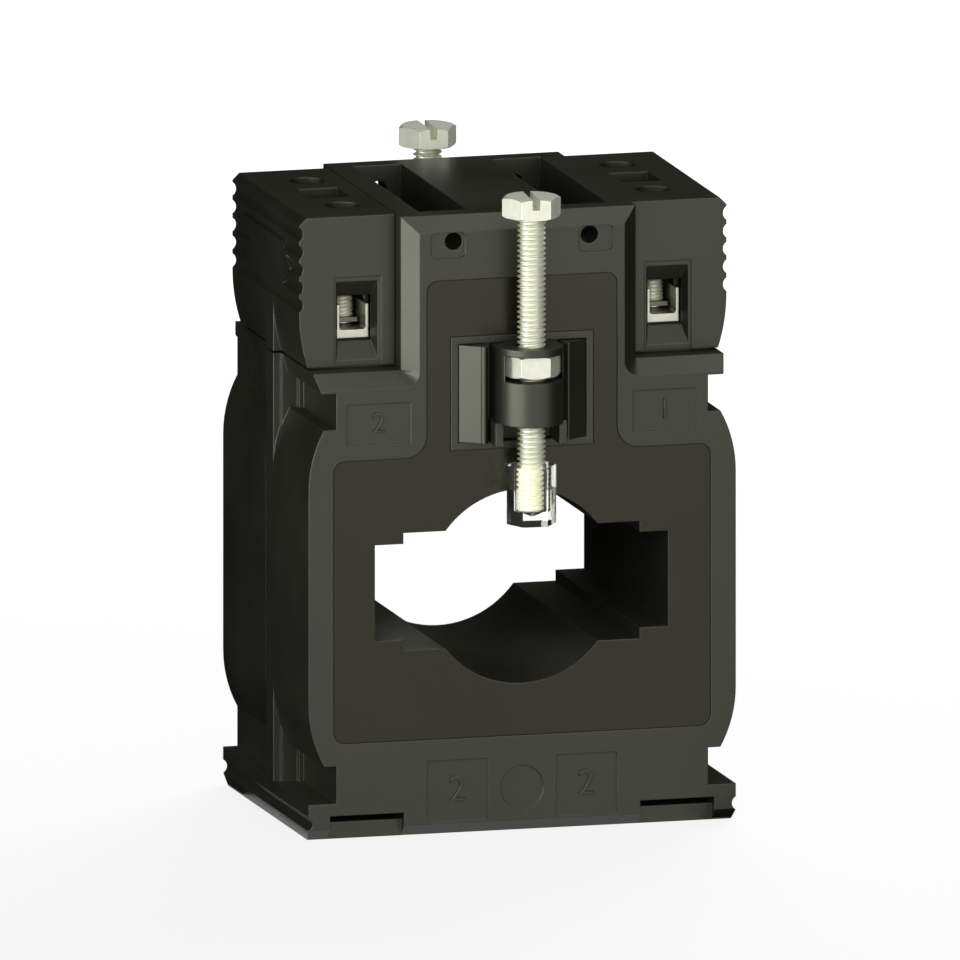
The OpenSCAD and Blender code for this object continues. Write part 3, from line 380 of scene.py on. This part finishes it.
def finish(name, color, edge_highlight_color, roughness, drift=(0.9, 1.1), patches=60.0,
           grains=5000.0, bump=0.1, grain_depth=0.02, edge_radius=0.15, **shader):
    """A Principled material whose colour and roughness drift, with soft edges painted lighter as a
    highlight, and a fine grain.
    """
    made = bpy.data.materials.new(name)
    made.use_nodes = True
    tree = made.node_tree
    surface = tree.nodes["Principled BSDF"]
    for label, value in shader.items():
        surface.inputs[label.replace("_", " ")].default_value = value
    mottle = use_group(tree, "Mottle", Patches_per_metre=patches, Low=drift[0], High=drift[1])
    edges = use_group(tree, "Soft edges", Radius=edge_radius * MM)
    grain = use_group(tree, "Fine grain", Grains_per_metre=grains)

    shade = add_node(tree, "ShaderNodeMix", {"data_type": "RGBA", "blend_type": "MULTIPLY"})
    shade.inputs["Factor"].default_value = 1
    shade.inputs["A"].default_value = color
    tree.links.new(mottle.outputs["Value"], shade.inputs["B"])
    # Painted highlight: along every edge the base colour turns to the lighter edge colour.
    painted_edge_light = add_node(tree, "ShaderNodeMix", {"data_type": "RGBA"})
    tree.links.new(edges.outputs["Edge"], painted_edge_light.inputs["Factor"])
    tree.links.new(shade.outputs["Result"], painted_edge_light.inputs["A"])
    painted_edge_light.inputs["B"].default_value = edge_highlight_color
    join(tree, painted_edge_light.outputs["Result"], surface, "Base Color")

    gloss = add_node(tree, "ShaderNodeMath", {"operation": "MULTIPLY", "use_clamp": True})
    gloss.inputs[0].default_value = roughness
    tree.links.new(mottle.outputs["Value"], gloss.inputs[1])
    join(tree, gloss.outputs[0], surface, "Roughness")

    relief = add_node(tree, "ShaderNodeBump", Strength=bump, Distance=grain_depth * MM)
    join(tree, grain.outputs["Height"], relief, "Height")
    join(tree, edges.outputs["Normal"], relief, "Normal")
    join(tree, relief.outputs["Normal"], surface, "Normal")
    return made


# %% [markdown]
# ## Finishes of the pieces one sees
#
# The housing is glass-filled polyamide in a warm, dark grey. It is dull, yet its corners shine a
# little, partly by real gloss and partly by a painted highlight on its edges. The label is a smooth
# dark film, so it mirrors the screw in front of it. Nickel plating has a slightly warm tone and a
# soft gloss. Here it is only partly metallic, so that it stays bright where it mirrors black cloth.
# The contact sheet is tinned, and the clamp steel is darker. Both are painted darker still, as
# painted shade for the dark inside of the terminal holes.

# %% Visible finishes
moulded_plastic = finish(
    "moulded plastic", linear(32, 32, 25), linear(52, 53, 44), 0.42,
    grains=6500, bump=0.35, grain_depth=0.012, edge_radius=0.22, Specular_Tint=(0.95, 1.0, 0.80, 1))
label_film = finish(
    "label film", linear(30, 27, 20), linear(40, 38, 32), 0.22, drift=(0.92, 1.08), patches=35,
    grains=900, bump=0.02, grain_depth=0.01, edge_radius=0.05, Specular_IOR_Level=0.40,
    Specular_Tint=(0.97, 1.0, 0.80, 1))
nickel_plate = finish(
    "nickel plate", linear(236, 238, 218), linear(250, 250, 238), 0.36, drift=(0.94, 1.04),
    patches=900, grains=2500, bump=0.05, grain_depth=0.01, edge_radius=0.10, Metallic=0.4)
# Painted shade: the tin colour is set darker than bright tin, for the dark inside of the terminal
# holes.
tin_in_painted_shade = finish(
    "tinned sheet", linear(176, 176, 162), linear(232, 232, 222), 0.32, drift=(0.9, 1.08),
    patches=700, grains=3000, bump=0.10, grain_depth=0.01, edge_radius=0.08, Metallic=1.0)
# Painted shade: the clamp steel colour is set darker too, for the same dark terminal holes.
clamp_steel = finish(
    "clamp steel", linear(96, 96, 88), linear(190, 190, 176), 0.40, drift=(0.9, 1.08),
    patches=700, grains=3000, bump=0.10, grain_depth=0.01, edge_radius=0.08, Metallic=0.8)
print("visible finishes:", ", ".join(m.name for m in (
    moulded_plastic, label_film, nickel_plate, tin_in_painted_shade, clamp_steel)))

# %% [markdown]
# ## Clear plastic
#
# The tips on the clamp screws are clear plastic, so that the busbar isn't scratched. Transmission
# lets light through, and the refractive index bends it. Real clear plastic has about 1.49, and the
# lower value here keeps a tip pale up to its edges. Fine flow lines from moulding disturb the
# surface only slightly.

# %% Clear plastic finish
TIP_IOR = 1.20

clear_plastic = bpy.data.materials.new("clear plastic")
clear_plastic.use_nodes = True
tree = clear_plastic.node_tree
surface = tree.nodes["Principled BSDF"]
surface.inputs["Transmission Weight"].default_value = 1
surface.inputs["IOR"].default_value = TIP_IOR
tint = use_group(tree, "Mottle", Patches_per_metre=400.0, Low=0.94, High=1.0)
shade = add_node(tree, "ShaderNodeMix", {"data_type": "RGBA", "blend_type": "MULTIPLY"})
shade.inputs["Factor"].default_value = 1
shade.inputs["A"].default_value = linear(250, 251, 243)
tree.links.new(tint.outputs["Value"], shade.inputs["B"])
join(tree, shade.outputs["Result"], surface, "Base Color")
polish = use_group(tree, "Mottle", Patches_per_metre=700.0, Low=0.05, High=0.09)
join(tree, polish.outputs["Value"], surface, "Roughness")
flow = use_group(tree, "Fine grain", Grains_per_metre=900.0)
relief = add_node(tree, "ShaderNodeBump", Strength=0.03, Distance=0.02 * MM)
join(tree, flow.outputs["Height"], relief, "Height")
join(tree, relief.outputs["Normal"], surface, "Normal")
print("clear plastic:", clear_plastic.name)

# %% [markdown]
# ## Finishes of what is inside
#
# The core is wound from thin steel strip, so its side shows many fine rings. The winding over it
# is enamelled copper wire, laid turn by turn, and yellow tape covers it. A Wave texture makes the
# regular lines, and a Bump node turns them into relief. They are only seen when the housing is
# taken away, yet they are finished like the rest.

# %% Lines as relief
LINES_AT_SCALE_1 = 3.18      # lines per metre that a Wave texture draws at scale 1


def add_lines(made, lines_per_metre, direction, depth, strength):
    """Puts regular fine lines on a finish, as extra relief under its grain."""
    tree = made.node_tree
    lines_at = add_node(tree, "ShaderNodeTexCoord")
    lines = add_node(
        tree, "ShaderNodeTexWave", {"bands_direction": direction},
        Scale=lines_per_metre / LINES_AT_SCALE_1, Distortion=0.3, Detail=1.0)
    join(tree, lines_at.outputs["Object"], lines, "Vector")
    relief = next(n for n in tree.nodes if n.bl_idname == "ShaderNodeBump")
    under = add_node(tree, "ShaderNodeBump", Strength=strength, Distance=depth * MM)
    join(tree, lines.outputs["Fac"], under, "Height")
    tree.links.new(relief.inputs["Normal"].links[0].from_socket, under.inputs["Normal"])
    join(tree, under.outputs["Normal"], relief, "Normal")


# %% Inner finishes
core_strip = finish(
    "core strip", linear(150, 152, 156), linear(185, 186, 190), 0.36, patches=300, grains=2500,
    bump=0.1, Metallic=1.0)
add_lines(core_strip, 3300, "Z", 0.05, 0.5)
cap_plastic = finish(
    "cap plastic", linear(44, 44, 44), linear(72, 72, 72), 0.5, grains=6000, bump=0.3)
copper_wire = finish(
    "copper wire", linear(184, 96, 46), linear(214, 130, 74), 0.3, patches=200, grains=2500,
    bump=0.05, Metallic=0.85, Coat_Weight=0.4)
add_lines(copper_wire, 1100, "X", 0.2, 0.8)
winding_tape = finish(
    "winding tape", linear(206, 172, 66), linear(226, 196, 100), 0.35, patches=90, grains=1500,
    bump=0.12)
add_lines(winding_tape, 110, "DIAGONAL", 0.08, 0.5)
lead_sleeve = finish(
    "lead sleeve", linear(142, 28, 22), linear(170, 60, 50), 0.45, patches=150, grains=3500,
    bump=0.15)
print("inner finishes:", core_strip.name, copper_wire.name, winding_tape.name)

# %% [markdown]
# ## Dress the frame
#
# The record says which material slot each node has. A table from slot to finish then dresses all
# nodes in one loop, and nothing can be forgotten.

# %% Assign finishes to the nodes
FINISHES = {
    "case": moulded_plastic, "label": label_film, "nickel": nickel_plate, "contact": tin_in_painted_shade,
    "clamp_steel": clamp_steel, "clear_tip": clear_plastic, "core_steel": core_strip,
    "core_cap": cap_plastic, "copper": copper_wire, "tape": winding_tape, "lead": lead_sleeve,
}
slot_of = {part["node"]: part["material_slot"] for part in frame["record"]["subparts"]}
for node, obj in frame["nodes"].items():
    for used in obj.material_slots:
        used.material = FINISHES[slot_of[node]]
print("dressed", len(slot_of), "nodes in", len(FINISHES), "finishes")

# %% [markdown]
# ## Real threads
#
# In the frame a screw is a smooth cylinder, because the thread only matters to the eye. A thread
# is a profile that climbs by one pitch in each turn. If every row of vertices climbs with the
# angle, the last column meets the first one a pitch higher, and the thread stays crisp with few
# faces. The head is taken over from the frame by cutting it off with a plane.

# %% Thread maker
THREAD_COLUMNS = 48
THREAD_DEPTH = 0.61                  # as a share of the pitch
ROOT_END, CREST_START, CREST_END = 0.25, 0.5625, 0.6875      # shares of the pitch, going up
CUT_NEAR = 1e-7


def trim(mesh, height, upwards):
    """Cuts a bmesh flat at a height, takes away what is above (or below), and closes the cut."""
    cut = bmesh.ops.bisect_plane(
        mesh, geom=mesh.verts[:] + mesh.edges[:] + mesh.faces[:], dist=CUT_NEAR,
        plane_co=(0, 0, height), plane_no=(0, 0, 1 if upwards else -1), clear_outer=True)
    rim = [g for g in cut["geom_cut"] if isinstance(g, bmesh.types.BMEdge)]
    bmesh.ops.triangle_fill(mesh, edges=rim, use_beauty=True)


def thread(low, high, crest, pitch, chamfer=0.0):
    """A right-handed threaded rod along Z at the origin, as a bmesh, cut flat at both ends."""
    mesh = bmesh.new()
    root = crest - THREAD_DEPTH * pitch
    profile = [(0.0, root), (ROOT_END, root), (CREST_START, crest), (CREST_END, crest)]
    rows = []
    for turn in range(-2, math.ceil((high - low) / pitch) + 2):
        for share, radius in profile:
            row = []
            for column in range(THREAD_COLUMNS):
                turned = column / THREAD_COLUMNS
                z = low + (turn + share + turned) * pitch
                r = min(radius, crest - max(0.0, chamfer - (z - low)))
                angle = 2 * math.pi * turned
                row.append(mesh.verts.new((r * math.cos(angle), r * math.sin(angle), z)))
            rows.append(row)
    climb = len(profile)
    for i in range(len(rows) - 1 - climb):
        for column in range(THREAD_COLUMNS - 1):
            mesh.faces.new((
                rows[i][column], rows[i][column + 1], rows[i + 1][column + 1], rows[i + 1][column]))
        mesh.faces.new((rows[i][-1], rows[i + climb][0], rows[i + 1 + climb][0], rows[i + 1][-1]))
    bmesh.ops.delete(mesh, geom=[v for v in mesh.verts if not v.link_faces], context="VERTS")
    trim(mesh, high, upwards=True)
    trim(mesh, low, upwards=False)
    return mesh


# %% [markdown]
# A screw is then three meshes in one: what is above the thread, the thread, and what is below it.
# The stretch that carries the thread is measured on the node itself, where its vertices lie at the
# crest's radius round the screw's axis. Only sharp corners stay sharp in the shading.

# %% Screw maker
ON_CREST = 0.01 * MM
SHARP_ABOVE = math.radians(28)


def threaded_screw(name, node, body, crest, pitch, chamfer=0.0):
    """A screw like its node in the frame, with a real thread in place of the smooth shank."""
    corner_low, corner_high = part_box(node)
    axis = Vector(((corner_low[0] + corner_high[0]) / 2, (corner_low[1] + corner_high[1]) / 2, 0))
    solid = frame["nodes"][node].data
    shank = [
        v.co.z for v in solid.vertices
        if abs(math.hypot(v.co.x - axis.x, v.co.y - axis.y) - crest) < ON_CREST
    ]
    start, end = min(shank), max(shank)
    screw = bmesh.new()
    screw.from_mesh(solid)
    bmesh.ops.translate(screw, verts=screw.verts[:], vec=-axis)
    parts = [screw]
    if chamfer:
        start = corner_low[2]        # the thread runs out over the chamfered end
    else:
        foot = screw.copy()
        trim(foot, start, upwards=True)
        parts.append(foot)
    trim(screw, end, upwards=False)
    parts.append(thread(start, end, crest, pitch, chamfer))
    made = bpy.data.meshes.new(name)
    whole = bmesh.new()
    for part in parts:
        part.to_mesh(made)
        whole.from_mesh(made)
        part.free()
    bmesh.ops.translate(whole, verts=whole.verts[:], vec=axis)
    bmesh.ops.recalc_face_normals(whole, faces=whole.faces[:])
    for face in whole.faces:
        face.smooth = True
        face.material_index = 0
    whole.to_mesh(made)
    whole.free()
    made.set_sharp_from_angle(angle=SHARP_ABOVE)
    made.materials.clear()
    made.materials.append(nickel_plate)
    piece = bpy.data.objects.new(name, made)
    bpy.context.scene.collection.objects.link(piece)
    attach(piece, body)
    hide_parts(node)
    return piece


# %% [markdown]
# The pitch isn't typed here: the frame's couplings say how far a screw turns for each metre of
# travel, so the thread that one sees is the thread that the joint follows.

# %% Make the screws
turns_of = {c["joint"]: c["ratio"] for c in frame["record"]["behaviour"]["couplings"]}
CLAMP_CREST = 1.95 * MM
CLAMP_CHAMFER = 0.4 * MM
TERMINAL_CREST = 1.45 * MM
for end in ("front", "rear"):
    pitch = 2 * math.pi / turns_of[f"{end}_clamp_turn"]
    screw = threaded_screw(
        f"{end}_clamp_screw_threaded", f"{end}_clamp_screw", f"{end}_screw",
        CLAMP_CREST, pitch, CLAMP_CHAMFER)
    print(screw.name, len(screw.data.polygons), "faces, pitch", round(pitch / MM, 3), "mm")
    for side in ("left", "right"):
        corner = f"{side}_{end}"
        pitch = 2 * math.pi / turns_of[f"{corner}_terminal_turn"]
        screw = threaded_screw(
            f"{corner}_terminal_screw_threaded", f"{corner}_terminal_screw", f"{corner}_screw",
            TERMINAL_CREST, pitch)
        print(screw.name, len(screw.data.polygons), "faces, pitch", round(pitch / MM, 3), "mm")

# %% [markdown]
# ## Raised numbers
#
# Small sunk plates beside the label and on the foot mark the terminals and the direction of the
# conductor. Each gets one plain number that stands up from the plate's floor to just below the
# face around it. A text curve gives the form, and turning it into a mesh fixes it.

# %% Number maker
front_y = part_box("front_shell")[0][1]
rear_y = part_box("rear_shell")[1][1]
PLATE_DEPTH = 0.30 * MM
NUMBER_RISE = 0.25 * MM
DIGIT_SHARE = 0.72           # a digit's height as a share of the text size


def number(name, digits, x, z, height, at_rear):
    """A raised number on the front or rear face, riding on the housing."""
    curve = bpy.data.curves.new(name, "FONT")
    curve.body = digits
    curve.size = height / DIGIT_SHARE
    curve.extrude = NUMBER_RISE / 2
    curve.align_x = "CENTER"
    curve.align_y = "CENTER"
    drawn = bpy.data.objects.new(name, curve)
    bpy.context.scene.collection.objects.link(drawn)
    shape = bpy.data.meshes.new_from_object(drawn)
    bpy.data.objects.remove(drawn)
    bpy.data.curves.remove(curve)
    stand = Matrix.Rotation(math.radians(90), 4, "X")
    if at_rear:
        stand = Matrix.Rotation(math.radians(180), 4, "Z") @ stand
    floor_y = rear_y - PLATE_DEPTH if at_rear else front_y + PLATE_DEPTH
    towards = 1 if at_rear else -1
    shape.transform(Matrix.Translation((x, floor_y + towards * NUMBER_RISE / 2, z)) @ stand)
    shape.materials.clear()
    shape.materials.append(moulded_plastic)
    piece = bpy.data.objects.new(name, shape)
    bpy.context.scene.collection.objects.link(piece)
    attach(piece, "housing")


# %% Place the numbers
SIDE_PLATE = (20.10 * MM, 57.15 * MM)
FOOT_PLATE = (9.05 * MM, 6.10 * MM)
SIDE_DIGIT = 2.9 * MM
FOOT_DIGIT = 3.6 * MM
for at_rear, end in ((False, "front"), (True, "rear")):
    primary = "1" if at_rear else "2"
    for side, sign, terminal in (("left", -1, "2"), ("right", 1, "1")):
        number(f"{end}_{side}_terminal_number", terminal,
               sign * SIDE_PLATE[0], SIDE_PLATE[1], SIDE_DIGIT, at_rear)
        number(f"{end}_{side}_foot_number", primary,
               sign * FOOT_PLATE[0], FOOT_PLATE[1], FOOT_DIGIT, at_rear)
